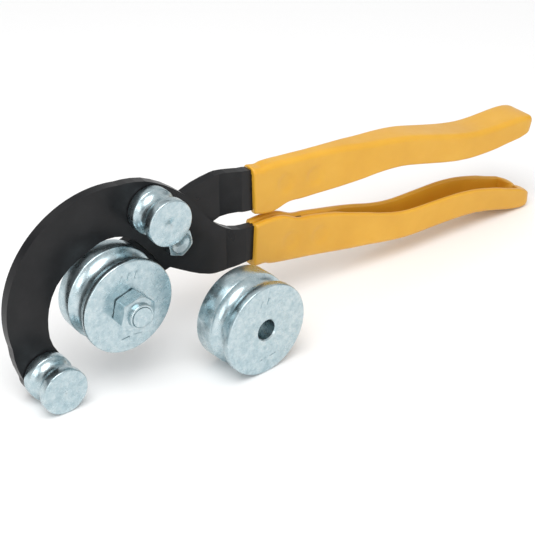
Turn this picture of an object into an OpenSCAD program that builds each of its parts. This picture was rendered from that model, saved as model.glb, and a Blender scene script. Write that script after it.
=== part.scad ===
// Manual tube bender: crossed pressed levers with a C-shaped jaw, two grooved
// rollers on the jaw, a grooved forming wheel held by a nut on a stud, and one
// spare forming wheel standing beside the tool.
// Millimetres. x runs from the jaw to the handles, y away from the front face,
// z up from the surface that the tool stands on. Pieces are drawn from the lower
// roller's axis, with y = 0 on the front lever's face, then moved so that the
// origin is under the middle of the whole set.

/* [Lever plates] */
// Thickness of each lever plate
plate_t = 5; // [4:0.5:8]
// Free gap between the two lever plates at the pivot
plate_gap = 0.3; // [0.2:0.1:0.6]
// Distance of the pivot from the lower roller's axis, along x
pivot_x = 75.6; // [70:0.1:80]
// Height of the pivot above the standing surface
pivot_z = 58; // [55:0.1:61]
// Outer radius of the C-shaped jaw about the stud
jaw_outer_r = 53.5; // [52:0.5:56]

/* [Rollers] */
// Roller diameter, which also sets the lower roller's height
roller_d = 23.5; // [20:0.5:24]
// Length of a roller in front of the plate
roller_len = 19.2; // [16:0.1:22]
// Radius of the groove's round section
roller_groove_r = 5.3; // [4:0.1:6]
// Depth of the groove
roller_groove_depth = 2.9; // [2:0.1:3.5]
// Diameter of the journal that turns in the jaw
journal_d = 12; // [8:1:14]
// Position of the upper roller along x
upper_roller_x = 61.3; // [58:0.1:64]
// Height of the upper roller's axis
upper_roller_z = 80.1; // [78:0.1:82]

/* [Forming wheels] */
// Diameter of both forming wheels
wheel_d = 48; // [44:1:50]
// Width of both forming wheels
wheel_w = 24; // [20:1:26]
// Diameter of the wheel bore
wheel_bore_d = 10.5; // [8:0.5:12]
// Tube diameter that the mounted wheel takes
mounted_tube_d = 12.7; // [10:0.1:13]
// Tube diameter that the spare wheel takes
spare_tube_d = 9.5; // [6:0.1:12.7]
// Stud position along x
stud_x = 36.6; // [34:0.1:39]
// Height of the stud's axis
stud_z = 44.2; // [42:0.1:47]
// Turn of the spare wheel about the vertical, in degrees
spare_turn = 3.8; // [0:0.1:10]

/* [Handles] */
// Thickness of the pressed channel
channel_t = 1.5; // [1:0.1:2]
// Thickness of the dipped vinyl on each face
vinyl_t = 0.8; // [0.5:0.1:1]
// Middle plane of the upper handle, behind the front face
handle_y = 4; // [3:0.1:5]
// How much nearer the front the lower handle's middle plane is
lower_set = 3; // [0:0.5:4]
// Slope of the upper handle against the lower one's mirror image, in degrees
handle_spread = 15.2; // [15.2:0.1:16.5]

/* [Fasteners] */
// Pivot bolt diameter
pivot_d = 8; // [6:1:10]
// Pivot bolt and nut, across flats
pivot_af = 13; // [10:1:17]
// Stud thread diameter
stud_thread_d = 10; // [8:1:10]
// Stud nut, across flats
stud_nut_af = 17; // [13:1:19]
// Rivet diameter in the handles
rivet_d = 6; // [4:0.5:7]

/* [Hidden] */
$fn = 96;

black = [0.13, 0.13, 0.14];
zinc = [0.74, 0.79, 0.81];
yellow = [0.93, 0.69, 0.24];

// Radial clearance of a turning or slipped-on fit
fit = 0.05;
// Free gap between faces that turn past each other
side_gap = 0.3;
big = 400;
// Middle of the whole set on the standing surface
base_middle = [149.9, -15.3, 0];

roller_r = roller_d / 2;
roller_back_land = 5.7;
washer_t = 1.2;
ring_t = 1.2;
washer_r = 9;

rear_y = plate_t + plate_gap;
rear_back_y = rear_y + plate_t;

wheel_r = wheel_d / 2;
wheel_front_y = rear_y - side_gap - wheel_w;
groove_y = -10.2;
wheel_chamfer = 0.7;
roller_chamfer = 0.6;
// How far a forming wheel's groove runs past half its tube's depth
groove_play = 0.1;
mounted_groove_depth = 3.9;
spare_groove_depth = 3.6;
spare_pos = [93.9, -49.2, wheel_r];
spare_groove_from_front = 8.9;

stud_head_r = 8;
stud_head_t = 3;
stud_nut_h = 8;
stud_collar_r = 6.4;
stud_collar_h = 3;
stud_nut_turn = 43;
stud_end_y = wheel_front_y - side_gap - stud_nut_h - stud_collar_h;

pivot_head_h = 5.3;
pivot_dish_r = 4.4;
pivot_dish_h = 1.3;
pivot_nut_h = 6.5;
pivot_washer_r = 8;
pivot_washer_t = 1.6;
pivot_head_turn = 20;

// Where the front and rear plates are set over to the handles' middle planes
joggle_start = 106;
joggle_end = 117;

// Stations along the lower handle: x, web height, free edge height, half width
stations = [
    [118, 26.9, 50.4, 4.8], [128.5, 25.9, 51, 4.8], [131, 24.6, 50.9, 4.8],
    [138, 23.1, 50.2, 4.8], [142.5, 22.3, 48.8, 4.8], [150, 20.9, 45.2, 4.8], [158, 19.5, 43.8, 4.8],
    [166, 18, 42, 5], [176, 16.3, 39.6, 5.6], [185, 15, 37, 6.4],
    [195, 13.8, 34, 7.3], [204, 12.4, 31, 8], [214, 11, 28.4, 8.6],
    [223, 10.2, 27, 9], [233, 10, 26.5, 9.3], [242, 10, 26.3, 9.5],
    [252, 9.9, 26, 9.8], [261, 9.6, 25.4, 10.1], [271, 8.7, 24, 10.3],
    [280, 7, 21.9, 10.5], [290, 4.4, 19, 10.7], [297, 2.4, 16.4, 10.8],
    [303, 0.9, 14.4, 10.8], [308, 0.1, 12.7, 10.8], [312.5, 0, 10.6, 10.3],
    [315.5, 0.9, 8.4, 8.6]];
// Upper handle: mirrored lower handle, turned and moved to the rear lever
upper_shift = [12.4, 137.9];

// The lever's tongue inside the lower handle
tongue_bottom = [[128, 28.4], [135, 26.6], [150, 23.5], [166, 20.6], [171, 19.8]];
tongue_top = [[171, 39], [166, 40.7], [158, 42.4], [150, 43.8], [142.5, 47.2],
    [135, 48.4], [128, 49]];
tongue_neck = [[119, 49.8], [119, 31]];
// Edge of the dip on each handle: x at the web side and x at the free edge
lower_collar = [120.9, 122.3];
upper_collar = [122.4, 129.2];
// Height of the dip's edge at the web side, and its height
collar_low_z = 28;
collar_h = 24;
hollow_start = 173;
// How many times the inset the channel stops short of the tip
tip_depth = 6;
rivet_spots = [[144, 34.5], [163, 31.2]];

// Free outlines of the plates, beyond the arcs that the functions give
front_right_edge = [[50.5, 96.5], [55.3, 95.7], [60.7, 94.2], [66, 91.7], [71.6, 88.4], [77, 84.4],
    [82.4, 79.8], [86.8, 74.4], [90.7, 68.9], [94.7, 63.6], [98.2, 59.8],
    [101.7, 56.6], [105.4, 53.8], [109.5, 51.5], [114, 50.3], [119, 49.8]];
front_low_edge = [[119, 31], [112, 30], [104, 29.6], [98.7, 30], [95.5, 30.8],
    [89.5, 33.3], [84, 36.3], [78, 39.9], [72, 43.6]];
front_inner_edge = [[66.8, 48.4], [61.8, 54.6], [56.5, 61.4], [53.4, 64.9],
    [49.5, 67.9], [46.3, 69.6], [42.5, 70.7], [38, 71.1], [34.3, 70.7], [29.5, 69],
    [23.5, 66.3], [17.7, 63.2], [13.7, 60], [10, 56.2], [7, 51], [5.2, 45.8],
    [4.2, 40.5], [3.9, 35.5], [4.2, 30], [5.6, 25], [7.9, 20.6]];
rear_top_edge = [[122.6, 77], [122.5, 79.6], [120, 80.2], [115.7, 80.8], [109.6, 81.2],
    [103.6, 81], [97.8, 80.3], [91.8, 79.1], [86, 77.2], [80, 74], [73.5, 70], [66, 66.8],
    [59.5, 64.6], [53, 62.5], [47.5, 60.6]];
rear_low_edge = [[46, 30.4], [54, 33.4], [63, 36.4], [72.6, 38.7], [79, 40.4],
    [86.5, 43.6], [93, 48.4], [98, 52.8], [102.4, 56.4], [106.1, 57.6],
    [110, 58.3], [115, 58.4], [119, 57.6]];
jaw_end_r = 11.2;
rear_end_r = 16;

module placed() {
    translate(-base_middle)
        children();
}

function arc(cx, cz, r, a0, a1, n) =
    [for (i = [0:n]) [cx + r * cos(a0 + (a1 - a0) * i / n), cz + r * sin(a0 + (a1 - a0) * i / n)]];
function reversed(p) = [for (i = [len(p) - 1:-1:0]) p[i]];
// Points of the lower handle carried to the upper one
function to_upper(p) = [for (q = p) [
    upper_shift[0] + q[0] * cos(handle_spread) - q[1] * sin(handle_spread),
    upper_shift[1] - q[0] * sin(handle_spread) - q[1] * cos(handle_spread)]];

module along_y(y_front, y_back) {
    translate([0, y_back, 0])
        rotate([90, 0, 0])
            linear_extrude(height = y_back - y_front)
                children();
}

module rod(x, z, r, y_front, y_back) {
    translate([x, y_back, z])
        rotate([90, 0, 0])
            cylinder(r = r, h = y_back - y_front);
}

module hexagon(x, z, af, y_front, y_back, turn) {
    translate([x, y_back, z])
        rotate([90, 0, 0])
            rotate([0, 0, turn])
                cylinder(r = af / sqrt(3), h = y_back - y_front, $fn = 6);
}

// Cone that bevels the corners of a hexagon's end, pointing to the front
module front_bevel(x, z, af, y_front, y_back) {
    translate([x, y_back, z])
        rotate([90, 0, 0])
            cylinder(r1 = af / 2 + (y_back - y_front) / 0.577, r2 = af / 2 * 0.96,
                h = y_back - y_front);
}

// Places a piece drawn about z, with its front at z = 0, on a y axis facing front
module facing_front(x, y, z) {
    translate([x, y, z])
        rotate([-90, 0, 0])
            children();
}

// ---- lever plates ----

module tongue_outline() {
    polygon(concat(tongue_bottom, tongue_top, tongue_neck));
}

// Plan of a plate that is set over to the handles' middle plane
module joggled_plan(y_front, middle_y) {
    tongue_y = middle_y - plate_t / 2;
    linear_extrude(height = big)
        polygon([[-big, y_front], [joggle_start, y_front], [joggle_end, tongue_y],
            [big, tongue_y], [big, tongue_y + plate_t], [joggle_end, tongue_y + plate_t],
            [joggle_start, y_front + plate_t], [-big, y_front + plate_t]]);
}

module front_lever_plate() {
    outline = concat(
        arc(0, roller_r, jaw_end_r, 20, -180, 20),
        [[-12.2, 14.8], [-13.7, 19.6], [-14.8, 25]],
        arc(stud_x, stud_z, jaw_outer_r, 194, 80, 72),
        front_right_edge, reversed(tongue_top), reversed(tongue_bottom),
        front_low_edge, front_inner_edge);
    placed()
        color(black)
            difference() {
                intersection() {
                    along_y(-big / 2, big / 2)
                        polygon(outline);
                    joggled_plan(0, handle_y - lower_set);
                }
                rod(0, roller_r, journal_d / 2 + fit, -1, plate_t + 1);
                rod(upper_roller_x, upper_roller_z, journal_d / 2 + fit, -1, plate_t + 1);
                rod(pivot_x, pivot_z, pivot_d / 2 + fit, -1, plate_t + 1);
                for (s = rivet_spots)
                    rod(s[0], s[1], rivet_d / 2 + fit, -big / 4, big / 4);
            }
}

module rear_lever_plate() {
    outline = concat(
        arc(stud_x, stud_z, rear_end_r, 75, 285, 24), rear_low_edge,
        to_upper(reversed(tongue_top)), to_upper(reversed(tongue_bottom)), rear_top_edge);
    placed()
        color(black)
            difference() {
                intersection() {
                    along_y(-big / 2, big / 2)
                        polygon(outline);
                    joggled_plan(rear_y, handle_y);
                }
                rod(stud_x, stud_z, wheel_bore_d / 2, rear_y - 1, rear_back_y + 1);
                rod(pivot_x, pivot_z, pivot_d / 2 + fit, rear_y - 1, rear_back_y + 1);
                upper_place()
                    for (s = rivet_spots)
                        rod(s[0], s[1], rivet_d / 2 + fit, -big / 4, big / 4);
            }
}

// ---- handles ----

module lower_place() {
    translate([0, -lower_set, 0])
        children();
}

module upper_place() {
    translate([upper_shift[0], 0, upper_shift[1]])
        rotate([0, handle_spread, 0])
            mirror([0, 0, 1])
                children();
}

// Handle solid from its collar to its tip, drawn in by an inset on every side;
// the pressed channel stops well inside the dipped tip
module handle_body(inset, collar) {
    n = len(stations) - 1;
    low = [for (s = stations) [s[0], s[1] + inset]];
    high = [for (s = reversed(stations)) [s[0], s[2] - inset]];
    near = [for (s = stations) [s[0], handle_y - s[3] + inset]];
    far = [for (s = reversed(stations)) [s[0], handle_y + s[3] - inset]];
    lean = collar[1] - collar[0];
    end_x = stations[n][0] - tip_depth * inset;
    intersection() {
        along_y(-big / 2, big / 2)
            intersection() {
                polygon(concat(low, high));
                polygon([[collar[0] - 2 * lean + inset, collar_low_z - 2 * collar_h],
                    [end_x, collar_low_z - 2 * collar_h], [end_x, collar_low_z + 2 * collar_h],
                    [collar[0] + 2 * lean + inset, collar_low_z + 2 * collar_h]]);
            }
        linear_extrude(height = big)
            polygon(concat(near, far));
    }
}

// Hollow of the channel: open towards the other handle, closed at the tip
module handle_hollow(wall, from_x, floor_half) {
    n = len(stations) - 1;
    low = [for (s = stations) [s[0], s[1] + wall]];
    near = [for (s = stations) [s[0], handle_y - max(floor_half, s[3] - wall)]];
    far = [for (s = reversed(stations)) [s[0], handle_y + max(floor_half, s[3] - wall)]];
    intersection() {
        along_y(-big / 2, big / 2)
            intersection() {
                polygon(concat(low, [[stations[n][0], big / 2], [stations[0][0], big / 2]]));
                translate([from_x, 0])
                    square([stations[n][0] - tip_depth * vinyl_t - 2 * channel_t - from_x, big / 2]);
            }
        linear_extrude(height = big)
            polygon(concat(near, far));
    }
}

module channel(collar) {
    difference() {
        handle_body(vinyl_t, collar);
        handle_hollow(vinyl_t + channel_t, 0, plate_t / 2);
        for (s = rivet_spots)
            rod(s[0], s[1], rivet_d / 2 + fit, -big / 4, big / 4);
    }
}

module rivets() {
    for (s = rivet_spots)
        rod(s[0], s[1], rivet_d / 2, handle_y - plate_t / 2 - channel_t,
            handle_y + plate_t / 2 + channel_t);
}

module grip(collar) {
    difference() {
        handle_body(0, collar);
        handle_hollow(2 * vinyl_t + channel_t, hollow_start, 0.5);
        difference() {
            handle_body(vinyl_t, collar);
            handle_hollow(vinyl_t + channel_t, hollow_start - vinyl_t, plate_t / 2);
        }
        along_y(handle_y - plate_t / 2, handle_y + plate_t / 2)
            tongue_outline();
    }
}

module lower_handle_channel() {
    placed()
        color(zinc)
            lower_place()
                channel(lower_collar);
}

module upper_handle_channel() {
    placed()
        color(zinc)
            upper_place()
                channel(upper_collar);
}

module lower_handle_rivets() {
    placed()
        color(zinc)
            lower_place()
                rivets();
}

module upper_handle_rivets() {
    placed()
        color(zinc)
            upper_place()
                rivets();
}

module lower_grip() {
    placed()
        color(yellow)
            lower_place()
                grip(lower_collar);
}

module upper_grip() {
    placed()
        color(yellow)
            upper_place()
                grip(upper_collar);
}

// ---- rollers ----

// Round groove cut at height h into a turned piece of radius r
module groove(r, section_r, depth, h) {
    translate([0, 0, h])
        rotate_extrude()
            translate([r - depth + section_r, 0])
                circle(r = section_r);
}

module turned_blank(r, h, chamfer) {
    rotate_extrude()
        polygon([[0, 0], [r - chamfer, 0], [r, chamfer], [r, h - chamfer],
            [r - chamfer, h], [0, h]]);
}

module roller() {
    journal_len = side_gap + plate_t + side_gap + washer_t + ring_t + 1;
    difference() {
        union() {
            turned_blank(roller_r, roller_len, roller_chamfer);
            translate([0, 0, roller_len - 1])
                cylinder(r = journal_d / 2, h = 1 + journal_len);
        }
        groove(roller_r, roller_groove_r, roller_groove_depth,
            roller_len + side_gap + groove_y);
        translate([0, 0, roller_len + journal_len - ring_t - 1])
            difference() {
                cylinder(r = journal_d, h = ring_t);
                translate([0, 0, -1])
                    cylinder(r = journal_d / 2 - 0.8, h = ring_t + 2);
            }
    }
}

module at_roller(x, z) {
    facing_front(x, -side_gap - roller_len, z)
        children();
}

module roller_washer() {
    translate([0, 0, roller_len + 2 * side_gap + plate_t])
        difference() {
            cylinder(r = washer_r, h = washer_t);
            translate([0, 0, -1])
                cylinder(r = journal_d / 2 + fit, h = washer_t + 2);
        }
}

// Open retaining ring in the journal's groove
module roller_ring() {
    gap_w = 5;
    translate([0, 0, roller_len + 2 * side_gap + plate_t + washer_t])
        difference() {
            cylinder(r = washer_r - 0.8, h = ring_t);
            translate([0, 0, -1])
                cylinder(r = journal_d / 2 - 0.8 + fit, h = ring_t + 2);
            translate([0, -gap_w / 2, -1])
                cube([washer_r * 2, gap_w, ring_t + 2]);
        }
}

module upper_roller() {
    placed()
        color(zinc)
            at_roller(upper_roller_x, upper_roller_z)
                roller();
}

module lower_roller() {
    placed()
        color(zinc)
            at_roller(0, roller_r)
                roller();
}

module upper_roller_washer() {
    placed()
        color(zinc)
            at_roller(upper_roller_x, upper_roller_z)
                roller_washer();
}

module lower_roller_washer() {
    placed()
        color(zinc)
            at_roller(0, roller_r)
                roller_washer();
}

module upper_roller_ring() {
    placed()
        color(zinc)
            at_roller(upper_roller_x, upper_roller_z)
                roller_ring();
}

module lower_roller_ring() {
    placed()
        color(zinc)
            at_roller(0, roller_r)
                roller_ring();
}

// ---- pivot ----

module pivot_bolt() {
    end_y = rear_back_y + side_gap + pivot_washer_t + pivot_nut_h + 1.5;
    placed()
        color(zinc)
            difference() {
                union() {
                    intersection() {
                        hexagon(pivot_x, pivot_z, pivot_af, -pivot_head_h, 0, pivot_head_turn);
                        front_bevel(pivot_x, pivot_z, pivot_af, -pivot_head_h, 0);
                    }
                    rod(pivot_x, pivot_z, pivot_d / 2, -1, end_y);
                }
                facing_front(pivot_x, -pivot_head_h - 0.01, pivot_z)
                    cylinder(r1 = pivot_dish_r, r2 = pivot_dish_r * 0.55, h = pivot_dish_h);
            }
}

module pivot_washer() {
    y0 = rear_back_y + side_gap;
    placed()
        color(zinc)
            difference() {
                rod(pivot_x, pivot_z, pivot_washer_r, y0, y0 + pivot_washer_t);
                rod(pivot_x, pivot_z, pivot_d / 2 + fit, y0 - 1, y0 + pivot_washer_t + 1);
            }
}

module pivot_nut() {
    y0 = rear_back_y + side_gap + pivot_washer_t;
    placed()
        color(zinc)
            difference() {
                hexagon(pivot_x, pivot_z, pivot_af, y0, y0 + pivot_nut_h, pivot_head_turn);
                rod(pivot_x, pivot_z, pivot_d / 2 + fit, y0 - 1, y0 + pivot_nut_h + 1);
            }
}

// ---- stud and forming wheels ----

module former_stud() {
    journal_front = wheel_front_y;
    placed()
        color(zinc)
            union() {
                rod(stud_x, stud_z, wheel_bore_d / 2 - fit, journal_front, rear_back_y + 1);
                rod(stud_x, stud_z, stud_thread_d / 2, stud_end_y, journal_front + 1);
                rod(stud_x, stud_z, stud_head_r, rear_back_y, rear_back_y + stud_head_t);
            }
}

module forming_blank(tube_d, groove_depth, groove_h) {
    difference() {
        turned_blank(wheel_r, wheel_w, wheel_chamfer);
        groove(wheel_r, tube_d / 2 + groove_play, groove_depth, groove_h);
        translate([0, 0, -1])
            cylinder(r = wheel_bore_d / 2, h = wheel_w + 2);
    }
}

module forming_wheel() {
    placed()
        color(zinc)
            facing_front(stud_x, wheel_front_y, stud_z)
                forming_blank(mounted_tube_d, mounted_groove_depth, groove_y - wheel_front_y);
}

module spare_wheel() {
    placed()
        color(zinc)
            translate(spare_pos)
                rotate([0, 0, spare_turn])
                    rotate([-90, 0, 0])
                        forming_blank(spare_tube_d, spare_groove_depth, spare_groove_from_front);
}

module former_nut() {
    y_back = wheel_front_y - side_gap;
    y_mid = y_back - stud_nut_h;
    placed()
        color(zinc)
            difference() {
                union() {
                    intersection() {
                        hexagon(stud_x, stud_z, stud_nut_af, y_mid, y_back, stud_nut_turn);
                        front_bevel(stud_x, stud_z, stud_nut_af, y_mid, y_back);
                    }
                    rod(stud_x, stud_z, stud_collar_r, stud_end_y, y_mid + 1);
                }
                rod(stud_x, stud_z, stud_thread_d / 2 + fit, stud_end_y - 1, y_back + 1);
            }
}

front_lever_plate();
rear_lever_plate();
lower_handle_channel();
upper_handle_channel();
lower_handle_rivets();
upper_handle_rivets();
lower_grip();
upper_grip();
upper_roller();
lower_roller();
upper_roller_washer();
lower_roller_washer();
upper_roller_ring();
lower_roller_ring();
pivot_bolt();
pivot_washer();
pivot_nut();
former_stud();
forming_wheel();
former_nut();
spare_wheel();
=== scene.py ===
"""Manual tube bender: looks, camera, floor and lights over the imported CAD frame.

Metres. x runs from the jaw to the handles, y away from the front face, z up.
"""

import math

import bmesh
import bpy
from mathutils import Matrix, Vector


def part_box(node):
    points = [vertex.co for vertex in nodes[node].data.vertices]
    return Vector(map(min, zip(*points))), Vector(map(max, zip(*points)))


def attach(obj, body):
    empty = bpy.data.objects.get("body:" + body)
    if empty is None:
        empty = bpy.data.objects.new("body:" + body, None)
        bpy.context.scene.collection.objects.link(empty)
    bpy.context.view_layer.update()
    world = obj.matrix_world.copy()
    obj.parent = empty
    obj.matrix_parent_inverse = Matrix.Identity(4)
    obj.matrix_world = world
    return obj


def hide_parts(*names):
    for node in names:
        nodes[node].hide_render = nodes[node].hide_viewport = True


MM = 0.001

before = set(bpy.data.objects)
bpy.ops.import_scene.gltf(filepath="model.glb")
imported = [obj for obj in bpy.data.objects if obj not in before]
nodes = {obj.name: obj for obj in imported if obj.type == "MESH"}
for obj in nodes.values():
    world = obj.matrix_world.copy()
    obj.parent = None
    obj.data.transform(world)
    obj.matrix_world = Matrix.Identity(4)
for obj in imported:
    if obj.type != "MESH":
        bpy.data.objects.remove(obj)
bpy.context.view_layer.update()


def middle(node):
    low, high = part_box(node)
    return (Vector(low) + Vector(high)) / 2


# ---- places, all from the frame ----

ROLLER_FRONT = -19.5
PLATE_FACE_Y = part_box("lower_roller")[0][1] - ROLLER_FRONT * MM
ROLLER_AXIS = middle("lower_roller")
# Millimetre places below are counted from the lower roller's axis, with y = 0 on
# the front lever's face and z = 0 on the standing surface, as in the part's source
HOME = Vector((ROLLER_AXIS.x, PLATE_FACE_Y, 0.0))


def place(x, y, z):
    return HOME + Vector((x, y, z)) * MM


def axis_in_mm(centre):
    """Where an axis along y through a point stands: (x, z) in mm from HOME."""
    return (centre.x - HOME.x) / MM, (centre.z - HOME.z) / MM


# ---- camera ----

VIEW_AZIMUTH = math.radians(-37.34)
VIEW_ELEVATION = math.radians(31.48)
VIEW_DISTANCE = 0.7692
VIEW_TARGET = place(131.65, 0.0, 21.1)
FOCAL_IMAGE_WIDTHS = 1500 / 535


def add_camera():
    back = Vector((
        math.sin(VIEW_AZIMUTH) * math.cos(VIEW_ELEVATION),
        -math.cos(VIEW_AZIMUTH) * math.cos(VIEW_ELEVATION),
        math.sin(VIEW_ELEVATION)))
    data = bpy.data.cameras.new("camera")
    data.sensor_width = 36.0
    data.lens = FOCAL_IMAGE_WIDTHS * data.sensor_width
    data.clip_start = 0.01
    data.clip_end = 20.0
    camera = bpy.data.objects.new("camera", data)
    camera.location = VIEW_TARGET + back * VIEW_DISTANCE
    camera.rotation_mode = "QUATERNION"
    camera.rotation_quaternion = (-back).to_track_quat("-Z", "Y")
    bpy.context.scene.collection.objects.link(camera)
    bpy.context.scene.camera = camera


# ---- materials ----

def new_material(name):
    material = bpy.data.materials.new(name)
    material.use_nodes = True
    tree = material.node_tree
    tree.nodes.clear()
    out = tree.nodes.new("ShaderNodeOutputMaterial")
    shader = tree.nodes.new("ShaderNodeBsdfPrincipled")
    tree.links.new(shader.outputs["BSDF"], out.inputs["Surface"])
    return material, tree, shader


def noise(tree, scale, detail=4.0, roughness=0.55, vector=None):
    node = tree.nodes.new("ShaderNodeTexNoise")
    node.inputs["Scale"].default_value = scale
    node.inputs["Detail"].default_value = detail
    node.inputs["Roughness"].default_value = roughness
    if vector is None:
        vector = tree.nodes.new("ShaderNodeTexCoord").outputs["Object"]
    tree.links.new(vector, node.inputs["Vector"])
    return node.outputs["Fac"]


def ramp(tree, value, stops):
    node = tree.nodes.new("ShaderNodeValToRGB")
    elements = node.color_ramp.elements
    elements[0].position, elements[0].color = stops[0][0], (*stops[0][1], 1)
    elements[1].position, elements[1].color = stops[-1][0], (*stops[-1][1], 1)
    for position, colour in stops[1:-1]:
        elements.new(position).color = (*colour, 1)
    tree.links.new(value, node.inputs["Fac"])
    return node.outputs["Color"]


def spread(tree, value, low, high):
    node = tree.nodes.new("ShaderNodeMapRange")
    node.inputs["From Min"].default_value = 0.25
    node.inputs["From Max"].default_value = 0.75
    node.inputs["To Min"].default_value = low
    node.inputs["To Max"].default_value = high
    tree.links.new(value, node.inputs["Value"])
    return node.outputs["Result"]


def bump(tree, shader, height, strength, distance):
    node = tree.nodes.new("ShaderNodeBump")
    node.inputs["Strength"].default_value = strength
    node.inputs["Distance"].default_value = distance
    tree.links.new(height, node.inputs["Height"])
    tree.links.new(node.outputs["Normal"], shader.inputs["Normal"])


def black_paint():
    material, tree, shader = new_material("black_paint")
    cloud = noise(tree, 60.0)
    colour = ramp(tree, cloud, [
        (0.3, (0.008, 0.008, 0.009)), (0.55, (0.012, 0.012, 0.013)), (0.8, (0.019, 0.019, 0.02))])
    tree.links.new(colour, shader.inputs["Base Color"])
    tree.links.new(spread(tree, cloud, 0.26, 0.36), shader.inputs["Roughness"])
    shader.inputs["Specular IOR Level"].default_value = 0.22
    bump(tree, shader, noise(tree, 900.0, 3.0), 0.12, 0.0002)
    return material


def yellow_vinyl():
    material, tree, shader = new_material("yellow_vinyl")
    cloud = noise(tree, 45.0)
    colour = ramp(tree, cloud, [
        (0.3, (0.66, 0.335, 0.022)), (0.55, (0.7, 0.365, 0.027)), (0.8, (0.74, 0.4, 0.036))])
    tree.links.new(colour, shader.inputs["Base Color"])
    tree.links.new(spread(tree, noise(tree, 140.0), 0.3, 0.42), shader.inputs["Roughness"])
    shader.inputs["Subsurface Weight"].default_value = 0.12
    shader.inputs["Subsurface Radius"].default_value = (1.0, 0.55, 0.15)
    shader.inputs["Subsurface Scale"].default_value = 0.0015
    bump(tree, shader, noise(tree, 120.0, 5.0, 0.5), 0.16, 0.0006)
    return material


RING_SCALE = 900.0


def turned_zinc(name, centre, tint=1.0):
    """Zinc plating over turned steel, its tool rings centred on an axis along y."""
    material, tree, shader = new_material(name)
    coordinates = tree.nodes.new("ShaderNodeTexCoord").outputs["Object"]
    shift = tree.nodes.new("ShaderNodeVectorMath")
    shift.operation = "SUBTRACT"
    tree.links.new(coordinates, shift.inputs[0])
    shift.inputs[1].default_value = centre
    flat = tree.nodes.new("ShaderNodeVectorMath")
    flat.operation = "MULTIPLY"
    tree.links.new(shift.outputs["Vector"], flat.inputs[0])
    flat.inputs[1].default_value = (1.0, 0.0, 1.0)
    radius = tree.nodes.new("ShaderNodeVectorMath")
    radius.operation = "LENGTH"
    tree.links.new(flat.outputs["Vector"], radius.inputs[0])
    rings = tree.nodes.new("ShaderNodeTexNoise")
    rings.noise_dimensions = "1D"
    rings.inputs["Scale"].default_value = RING_SCALE
    rings.inputs["Detail"].default_value = 3.0
    tree.links.new(radius.outputs["Value"], rings.inputs["W"])
    cloud = noise(tree, 330.0, 6.0, 0.7)
    colour = ramp(tree, cloud, [
        (0.32, (0.36 * tint, 0.47 * tint, 0.51 * tint)),
        (0.5, (0.47 * tint, 0.575 * tint, 0.61 * tint)),
        (0.7, (0.6 * tint, 0.68 * tint, 0.7 * tint))])
    tree.links.new(colour, shader.inputs["Base Color"])
    shader.inputs["Metallic"].default_value = 1.0
    tree.links.new(spread(tree, noise(tree, 260.0), 0.22, 0.34), shader.inputs["Roughness"])
    both = tree.nodes.new("ShaderNodeMath")
    both.operation = "ADD"
    tree.links.new(rings.outputs["Fac"], both.inputs[0])
    tree.links.new(noise(tree, 1400.0, 3.0), both.inputs[1])
    bump(tree, shader, both.outputs["Value"], 0.22, 0.00012)
    return material


def give(obj, material):
    obj.data.materials.clear()
    obj.data.materials.append(material)


# ---- mesh helpers ----

def finish_mesh(name, mesh_data, material, body, smooth_angle=38.0):
    """Turns a bmesh into a shaded piece riding on a body."""
    bmesh.ops.recalc_face_normals(mesh_data, faces=mesh_data.faces)
    for face in mesh_data.faces:
        face.smooth = True
    for edge in mesh_data.edges:
        if len(edge.link_faces) == 2:
            edge.smooth = edge.calc_face_angle(0.0) < math.radians(smooth_angle)
    mesh = bpy.data.meshes.new(name)
    mesh_data.to_mesh(mesh)
    mesh_data.free()
    obj = bpy.data.objects.new(name, mesh)
    bpy.context.scene.collection.objects.link(obj)
    give(obj, material)
    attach(obj, body)
    return obj


def bridge(mesh_data, rings, closed):
    """Faces between neighbouring rings of vertices; a ring of one vertex is a pole."""
    pairs = list(zip(rings, rings[1:]))
    if closed:
        pairs.append((rings[-1], rings[0]))
    for first, second in pairs:
        count = max(len(first), len(second))
        for i in range(count):
            corners = [
                first[i % len(first)], first[(i + 1) % len(first)],
                second[(i + 1) % len(second)], second[i % len(second)]]
            unique = list(dict.fromkeys(corners))
            if len(unique) > 2:
                mesh_data.faces.new(unique)


def spun(name, axis, profile, material, body, closed=False, steps=144):
    """A turned piece: profile holds (radius, y) in mm, or functions of the angle that give them."""
    mesh_data = bmesh.new()
    rings = []
    for entry in profile:
        ring = []
        for i in range(steps):
            angle = math.tau * i / steps
            radius, y = entry(angle) if callable(entry) else entry
            ring.append(mesh_data.verts.new(place(
                axis[0] + radius * math.cos(angle), y, axis[1] + radius * math.sin(angle))))
            if radius == 0:
                break
        rings.append(ring)
    bridge(mesh_data, rings, closed)
    return finish_mesh(name, mesh_data, material, body)


def corner_arc(radius, y, size, towards, steps=4):
    """Rounded corner of a turned profile, between a face at y and a rim at radius.

    towards is 1 for a front corner (face, then rim) and -1 for a back one (rim, then face).
    """
    points = []
    for i in range(steps + 1):
        turn = math.pi / 2 * i / steps
        if towards > 0:
            points.append((radius - size + size * math.sin(turn), y + size - size * math.cos(turn)))
        else:
            points.append((radius - size + size * math.cos(turn), y - size + size * math.sin(turn)))
    return points


def groove_arc(radius, centre_y, section, depth, lip, steps=20):
    """Round-bottomed groove with small broken lips."""
    centre_r = radius - depth + section
    half = math.acos((centre_r - radius + lip * 0.5) / section)
    points = [(radius, centre_y - section * math.sin(half) - lip)]
    for i in range(steps + 1):
        turn = -half + 2 * half * i / steps
        points.append((centre_r - section * math.cos(turn), centre_y + section * math.sin(turn)))
    points.append((radius, centre_y + section * math.sin(half) + lip))
    return points


# ---- rollers and forming wheels ----

ROLLER_R = 11.75
ROLLER_BACK = -0.3
GROOVE_Y = -10.2
JOURNAL_R = 6.0
JOURNAL_END = 8.7


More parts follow.
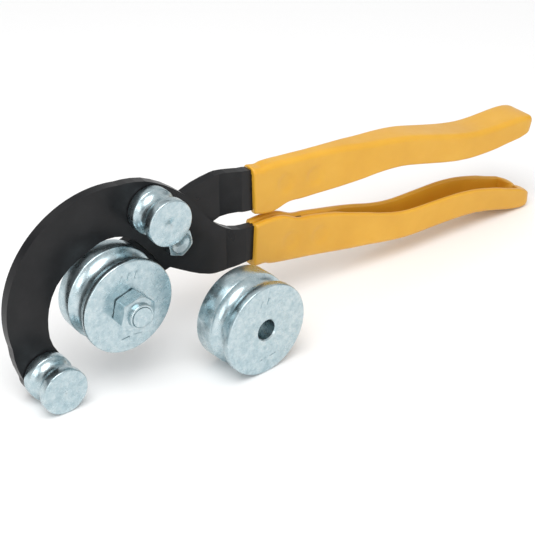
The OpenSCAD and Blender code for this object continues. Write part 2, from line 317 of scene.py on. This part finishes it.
def add_roller(node, body):
    centre = middle(node)
    axis = axis_in_mm(centre)
    profile = [(0, ROLLER_FRONT + 0.55), (0.45, ROLLER_FRONT + 0.35), (0.95, ROLLER_FRONT + 0.02)]
    profile += [(5.0, ROLLER_FRONT), (8.5, ROLLER_FRONT)]
    profile += corner_arc(ROLLER_R, ROLLER_FRONT, 0.7, 1)
    profile += groove_arc(ROLLER_R, GROOVE_Y, 5.3, 2.9, 0.35)
    profile += corner_arc(ROLLER_R, ROLLER_BACK, 0.6, -1)
    profile += [(JOURNAL_R + 0.5, ROLLER_BACK), (JOURNAL_R, ROLLER_BACK + 0.1)]
    profile += [(JOURNAL_R, 6.4), (5.2, 6.5), (5.2, 7.6), (JOURNAL_R, 7.7)]
    profile += corner_arc(JOURNAL_R, JOURNAL_END, 0.5, -1)
    profile += [(2.0, JOURNAL_END), (0, JOURNAL_END)]
    roller = spun(node + "_turned", axis, profile, turned_zinc("zinc_" + node, centre), body)
    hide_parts(node)


WHEEL_R = 24.0
WHEEL_W = 24.0
BORE_R = 5.25
EDGE_R = 0.75
BORE_BREAK = 0.6
SPARE_TURN = math.radians(3.8)


def wheel_profile(front, groove_y, section, depth):
    back = front + WHEEL_W
    profile = [(BORE_R, front + BORE_BREAK), (BORE_R + BORE_BREAK, front), (12.0, front), (18.0, front)]
    profile += corner_arc(WHEEL_R, front, EDGE_R, 1)
    profile += groove_arc(WHEEL_R, groove_y, section, depth, 0.4, 28)
    profile += corner_arc(WHEEL_R, back, EDGE_R, -1)
    profile += [(BORE_R + BORE_BREAK, back), (BORE_R, back - BORE_BREAK)]
    return profile


MARK_ROOT = Vector((0, 0.04, 0))
MARK_CREST = Vector((0, -0.3, 0))
MARK_TAPER = 0.7


def add_mark(name, spots, material, body, to_face):
    """Small raised strokes on a wheel's face: (x, z, length, width, turn) in mm round its centre."""
    mesh_data = bmesh.new()
    for centre_x, centre_z, length, width, turn in spots:
        across = Vector((math.cos(turn), 0, math.sin(turn))) * length / 2
        up = Vector((-math.sin(turn), 0, math.cos(turn))) * width / 2
        outer = [-across - up, across - up, across + up, -across + up]
        centre = Vector((centre_x, 0, centre_z))
        ring = [mesh_data.verts.new((centre + p + MARK_ROOT) * MM) for p in outer]
        crest = [mesh_data.verts.new((centre + p * MARK_TAPER + MARK_CREST) * MM) for p in outer]
        bridge(mesh_data, [ring, crest], False)
        mesh_data.faces.new(crest)
        mesh_data.faces.new(list(reversed(ring)))
    mesh_data.transform(to_face)
    return finish_mesh(name, mesh_data, material, body, 20.0)


def add_forming_wheel():
    centre = middle("forming_wheel")
    axis = axis_in_mm(centre)
    front = (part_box("forming_wheel")[0][1] - HOME.y) / MM
    material = turned_zinc("zinc_forming_wheel", centre)
    wheel = spun("forming_wheel_turned", axis, wheel_profile(front, GROOVE_Y, 6.45, 3.9),
                 material, "forming_wheel", closed=True, steps=180)
    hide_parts("forming_wheel")
    spots = [(-3.5, 16, 4.2, 1.0, 1.2), (0.5, 16.4, 4.2, 1.0, 1.2), (4.5, 16, 4.2, 1.0, 1.2),
             (-3, -16.5, 5.0, 1.0, 0.1), (3.6, -16.5, 5.0, 1.0, -0.1)]
    to_face = Matrix.Translation(place(axis[0], front, axis[1]))
    add_mark("forming_wheel_marks", spots, material, "forming_wheel", to_face)


def add_spare_wheel():
    centre = middle("spare_wheel")
    turn = Matrix.Rotation(SPARE_TURN, 4, "Z")
    front = -WHEEL_W / 2
    material = turned_zinc("zinc_spare_wheel", centre)
    profile = wheel_profile(front, front + 8.9, 4.85, 3.6)
    wheel = spun("spare_wheel_turned", axis_in_mm(centre), profile, material, "spare_wheel",
                 closed=True, steps=180)
    to_centre = Matrix.Translation(centre)
    from_start = Matrix.Translation(Vector((-centre.x, -HOME.y, -centre.z)))
    wheel.data.transform(to_centre @ turn @ from_start)
    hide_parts("spare_wheel")
    spots = [(-3, 15.5, 4.0, 1.0, 1.2), (1, 16, 4.0, 1.0, 1.2), (-2.5, -16, 4.6, 1.0, 0.15),
             (3.5, -15.6, 4.6, 1.0, 0.15)]
    to_face = to_centre @ turn @ Matrix.Translation(Vector((0, front, 0)) * MM)
    add_mark("spare_wheel_marks", spots, material, "spare_wheel", to_face)


# ---- hexagons ----

def hexagon_radius(angle, flats, turn):
    step = math.tau / 6
    return flats / 2 / math.cos((angle - turn) % step - step / 2)


def hexagon_profile(flats, turn, front, back, inside):
    """Hexagon with a bevelled front: inside is the profile before the bevel starts."""
    bevel_r = flats / 2 * 0.96

    def bevel(angle):
        radius = hexagon_radius(angle, flats, turn)
        return radius, front + (radius - bevel_r) * 0.5

    def rim_back(angle):
        radius = hexagon_radius(angle, flats, turn)
        return radius, back - (radius - bevel_r) * 0.3

    return inside + [(bevel_r, front), bevel, rim_back, (bevel_r, back)]


def add_former_nut():
    centre = middle("former_nut")
    axis = axis_in_mm(centre)
    front, back = -30.3, -19.3
    shoulder = front + 3.0
    inside = [(5.05, shoulder + 3.0), (5.05, front + 0.5), (5.4, front + 0.1), (5.8, front)]
    inside += corner_arc(6.4, front, 0.5, 1) + [(6.4, shoulder - 0.1), (6.6, shoulder)]
    profile = hexagon_profile(17.0, math.radians(-43), shoulder, back, inside)
    profile += [(5.05, back)]
    nut = spun("former_nut_turned", axis, profile, turned_zinc("zinc_former_nut", centre, 0.97),
               "rear_lever", closed=True)
    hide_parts("former_nut")


def add_pivot_bolt():
    centre = middle("pivot_bolt")
    axis = axis_in_mm(centre)
    front, back, end = -5.3, 0.0, 20.2
    inside = [(0, front + 1.5), (2.2, front + 1.45), (3.4, front + 1.1), (4.6, front + 0.15)]
    inside += [(4.9, front)]
    profile = hexagon_profile(13.0, math.radians(-20), front, back, inside)
    profile += [(4.0, back), (4.0, end - 0.7), (3.3, end), (0, end)]
    bolt = spun("pivot_bolt_forged", axis, profile, turned_zinc("zinc_pivot_bolt", centre, 0.85),
                "front_lever")
    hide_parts("pivot_bolt")


# ---- handles ----

# Stations along the lower handle, in mm: x, web height, free edge height, half width
STATIONS = [
    (118, 26.9, 50.4, 4.8), (123, 26.3, 50.8, 4.8), (128.5, 25.9, 51, 4.8), (131, 24.7, 50.9, 4.8),
    (138, 23.1, 50.2, 4.8), (142.5, 22.3, 48.8, 4.8), (150, 20.9, 45.2, 4.8),
    (158, 19.5, 43.8, 4.8), (166, 18, 42, 5),
    (176, 16.3, 39.6, 5.6), (185, 15, 37, 6.4), (195, 13.8, 34, 7.3), (204, 12.4, 31, 8),
    (214, 11, 28.4, 8.6), (223, 10.2, 27, 9), (233, 10, 26.5, 9.3), (242, 10, 26.3, 9.5),
    (252, 9.9, 26, 9.8), (261, 9.6, 25.4, 10.1), (271, 8.7, 24, 10.3), (280, 7, 21.9, 10.5),
    (290, 4.4, 19, 10.7), (297, 2.4, 16.4, 10.8), (303, 0.9, 14.4, 10.8), (308, 0.1, 12.7, 10.8),
    (312.5, 0.1, 10.6, 10.6), (315.5, 0.9, 8.4, 10.4)]
LOWER_HANDLE_Y = 1.0
UPPER_HANDLE_Y = 4.0
VINYL_T = 0.8
CHANNEL_T = 1.5
HOLLOW_START = 172.0
HOLLOW_FULL = 184.0
HOLLOW_CLOSING = 306.0
HOLLOW_END = 310.0
# How many times its inset the steel skin stops short of the tip
STEEL_SHORT = 14
TIP_ROUND_START = 310.5
RIVET_SPOTS = ((144, 34.5), (163, 31.2))
# Height of the dip's edge at the web side, and its height
COLLAR_LOW_Z = 28.0
COLLAR_H = 24.0
LOWER_COLLAR = (120.9, 122.3)
UPPER_COLLAR = (122.4, 129.2)
UPPER_SHIFT = (12.4, 137.9)
UPPER_SLOPE = math.radians(15.2)


def along_handle(x, column):
    """Smooth curve through one column of the stations."""
    last = len(STATIONS) - 1
    i = max(k for k in range(last) if STATIONS[k][0] <= x or k == 0)
    x0, x1 = STATIONS[i][0], STATIONS[i + 1][0]
    before, after = STATIONS[max(i - 1, 0)], STATIONS[min(i + 2, last)]
    y0, y1 = STATIONS[i][column], STATIONS[i + 1][column]
    slope0 = (y1 - before[column]) / (x1 - before[0])
    slope1 = (after[column] - y0) / (after[0] - x0)
    t = min(max((x - x0) / (x1 - x0), 0.0), 1.0)
    width = x1 - x0
    return ((2 * t**3 - 3 * t**2 + 1) * y0 + (t**3 - 2 * t**2 + t) * slope0 * width
            + (3 * t**2 - 2 * t**3) * y1 + (t**3 - t**2) * slope1 * width)


def smooth_step(x, start, end):
    t = min(max((x - start) / (end - start), 0.0), 1.0)
    return t * t * (3 - 2 * t)


def channel_section(x, inset, wall):
    """Half of the U section at x, from the web's middle round to the floor's middle: (y, z)."""
    web = max(along_handle(x, 1), 0.0) + inset
    edge = along_handle(x, 2) - inset
    half = along_handle(x, 3) - inset
    if x > TIP_ROUND_START:
        reach = (x - TIP_ROUND_START) / (STATIONS[-1][0] + 0.05 - TIP_ROUND_START)
        half -= 4.0 * (1 - math.sqrt(max(1 - reach ** 2, 0)))
        squeeze = (edge - web) * 0.3 * (1 - math.sqrt(max(1 - reach ** 4, 0)))
        web, edge = web + squeeze * 0.6, edge - squeeze
    opened = smooth_step(x, HOLLOW_START, HOLLOW_FULL)
    opened *= 1 - smooth_step(x, HOLLOW_CLOSING, HOLLOW_END)
    lip = 1.3 - inset * 0.7
    floor_low = min(web + wall, edge - lip - 0.1)
    floor_z = (edge - lip * 0.8) * (1 - opened) + floor_low * opened
    inner = 0.9 * (1 - opened) + max(half - wall, 0.9) * opened
    round_r = min(3.0 - inset, half * 0.6, (edge - web) * 0.4)
    points = [(0.0, web), ((half - round_r) / 2, web)]
    for i in range(6):
        turn = math.pi / 2 * i / 5
        points.append((half - round_r * (1 - math.sin(turn)), web + round_r * (1 - math.cos(turn))))
    top = max(edge - lip, web + round_r + 0.2)
    for i in range(1, 25):
        points.append((half, web + round_r + (top - web - round_r) * i / 24))
    middle_y, reach = (half + inner) / 2, (half - inner) / 2
    for i in range(1, 8):
        turn = math.pi * i / 8
        points.append((middle_y + reach * math.cos(turn), top + (edge - top) * math.sin(turn)))
    inner_r = min(1.6, inner * 0.7, max(top - floor_z, 0.05) * 0.8)
    floor_z = min(floor_z, top)
    for i in range(4):
        points.append((inner, top + (floor_z + inner_r - top) * i / 3))
    for i in range(1, 4):
        turn = math.pi / 2 * i / 3
        points.append((inner - inner_r * (1 - math.cos(turn)), floor_z + inner_r * (1 - math.sin(turn))))
    points.append((0.0, floor_z))
    return points


DENT_DEPTH = 0.7
DENT_FLAT_R = 2.8
DENT_R = 6.6


def dimple(x, y, z):
    """Dents in the dip over the rivets, on the outer walls only."""
    if abs(y) < 3.0:
        return y
    dent = sum(1 - smooth_step(math.hypot(x - a, z - b), DENT_FLAT_R, DENT_R) for a, b in RIVET_SPOTS)
    return y - math.copysign(DENT_DEPTH * dent, y)


def to_upper(x, z):
    """A point of the lower handle carried to the upper one."""
    cos, sin = math.cos(UPPER_SLOPE), math.sin(UPPER_SLOPE)
    return UPPER_SHIFT[0] + x * cos - z * sin, UPPER_SHIFT[1] - x * sin - z * cos


def handle_stops(start, end):
    stops = [start, start + 0.25, start + 0.8]
    stops += [start + 0.8 + (end - 5.0 - start) * i / 150 for i in range(1, 150)]
    stops += [end - 4.2 + 4.2 * math.sin(math.pi / 2 * i / 9) for i in range(10)]
    return stops


def add_handle_skin(name, body, upper, collar, inset, wall, material):
    """A U-shaped skin from collar to tip, closed at both ends."""
    start, end = collar[0] + inset, STATIONS[-1][0] - STEEL_SHORT * inset
    lean = (collar[1] - collar[0]) / COLLAR_H
    middle_y = UPPER_HANDLE_Y if upper else LOWER_HANDLE_Y
    mesh_data = bmesh.new()
    rings = []
    for stop in handle_stops(start, end):
        half = channel_section(stop, inset, wall)
        loop = half + [(-y, z) for y, z in reversed(half[1:-1])]
        shrink = 0.55 * (1 - min((stop - start) / 0.8, 1.0)) ** 2
        fade = 1 - smooth_step(stop, start, start + 26)
        ring = []
        for y, z in loop:
            y_here = y * (1 - shrink / 5)
            z_here = z + shrink * (1 if z < 40 else -1) * 0.6
            if inset == 0:
                y_here = dimple(stop, y_here, z_here)
            x_here = stop + lean * (z - COLLAR_LOW_Z) * fade
            if upper:
                x_here, z_here = to_upper(x_here, z_here)
            ring.append(mesh_data.verts.new(place(x_here, middle_y + y_here, z_here)))
        rings.append(ring)
    bridge(mesh_data, rings, False)
    mesh_data.faces.new(rings[0])
    mesh_data.faces.new(rings[-1])
    return finish_mesh(name, mesh_data, material, body, 60.0)


def add_handles(vinyl, steel):
    for side, body, upper, collar in (
            ("lower", "front_lever", False, LOWER_COLLAR), ("upper", "rear_lever", True, UPPER_COLLAR)):
        grip = add_handle_skin(side + "_grip_dipped", body, upper, collar, 0.0,
                               2 * VINYL_T + CHANNEL_T, vinyl)
        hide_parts(side + "_grip")
        pressed = add_handle_skin(side + "_channel_pressed", body, upper, collar, VINYL_T,
                                  CHANNEL_T, steel)
        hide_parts(side + "_handle_channel")


# ---- stage ----

def add_floor():
    material, tree, shader = new_material("floor")
    colour = ramp(tree, noise(tree, 3.0), [(0.0, (0.9, 0.9, 0.9)), (1.0, (0.92, 0.92, 0.92))])
    tree.links.new(colour, shader.inputs["Base Color"])
    shader.inputs["Roughness"].default_value = 0.8
    bpy.ops.mesh.primitive_plane_add(size=8.0, location=(0, 0, 0))
    floor = bpy.context.object
    floor.name = "floor"
    give(floor, material)


def add_card(name, direction, distance, size, colour):
    """A dark board that only shows in the metal's reflections."""
    material, tree, shader = new_material(name)
    patches = ramp(tree, noise(tree, 6.0), [(0.3, tuple(c * 0.6 for c in colour)), (0.7, colour)])
    tree.links.new(patches, shader.inputs["Base Color"])
    shader.inputs["Roughness"].default_value = 0.9
    out = Vector(direction).normalized()
    bpy.ops.mesh.primitive_plane_add(size=1.0, location=out * distance)
    card = bpy.context.object
    card.name = name
    card.scale = (size[0], size[1], 1.0)
    card.rotation_mode = "QUATERNION"
    card.rotation_quaternion = out.to_track_quat("Z", "Y")
    for ray in ("visible_camera", "visible_diffuse", "visible_shadow"):
        setattr(card, ray, False)
    give(card, material)


def add_cards():
    add_card("card_left", (-0.62, 0.66, 0.42), 1.2, (0.62, 0.34), (0.03, 0.06, 0.08))
    add_card("card_back", (0.25, 0.72, 0.62), 1.2, (0.6, 0.2), (0.06, 0.09, 0.11))
    add_card("card_side", (-0.85, -0.1, 0.5), 1.2, (0.2, 0.7), (0.06, 0.1, 0.12))
    add_card("card_right", (0.9, -0.1, 0.3), 1.2, (0.4, 0.5), (0.05, 0.09, 0.11))


def add_area_light(name, location, target, size, power, colour=(1, 1, 1)):
    data = bpy.data.lights.new(name, "AREA")
    data.shape = "RECTANGLE"
    data.size, data.size_y = size
    data.energy = power
    data.color = colour
    light = bpy.data.objects.new(name, data)
    light.location = location
    direction = Vector(target) - Vector(location)
    light.rotation_mode = "QUATERNION"
    light.rotation_quaternion = direction.to_track_quat("-Z", "Y")
    bpy.context.scene.collection.objects.link(light)


def add_lights():
    world = bpy.data.worlds.new("world")
    world.use_nodes = True
    background = world.node_tree.nodes["Background"]
    background.inputs["Color"].default_value = (1, 1, 1, 1)
    background.inputs["Strength"].default_value = 0.75
    bpy.context.scene.world = world
    add_area_light("key", (-0.35, -0.3, 1.1), (0, 0, 0), (1.0, 0.8), 9.0)
    add_area_light("fill", (-1.0, -0.9, 0.45), (0, 0, 0.03), (0.9, 0.5), 3.0)


bpy.context.scene.view_settings.view_transform = "Standard"
add_camera()
add_floor()
add_lights()
add_cards()

PAINT = black_paint()
VINYL = yellow_vinyl()
for name in ("front_lever_plate", "rear_lever_plate"):
    give(nodes[name], PAINT)
    edge_break = nodes[name].modifiers.new("edge_break", "BEVEL")
    edge_break.width = 0.5 * MM
    edge_break.segments = 2
    edge_break.limit_method = "ANGLE"
    edge_break.angle_limit = math.radians(50)
    edge_break.use_clamp_overlap = False
for name in ("lower_grip", "upper_grip"):
    give(nodes[name], VINYL)
for name, obj in nodes.items():
    if name not in ("front_lever_plate", "rear_lever_plate", "lower_grip", "upper_grip"):
        give(obj, turned_zinc("plated_" + name, middle(name)))
add_roller("upper_roller", "upper_roller")
add_roller("lower_roller", "lower_roller")
add_forming_wheel()
add_spare_wheel()
add_former_nut()
add_pivot_bolt()
add_handles(VINYL, turned_zinc("zinc_channels", tuple(place(200, 4, 30))))
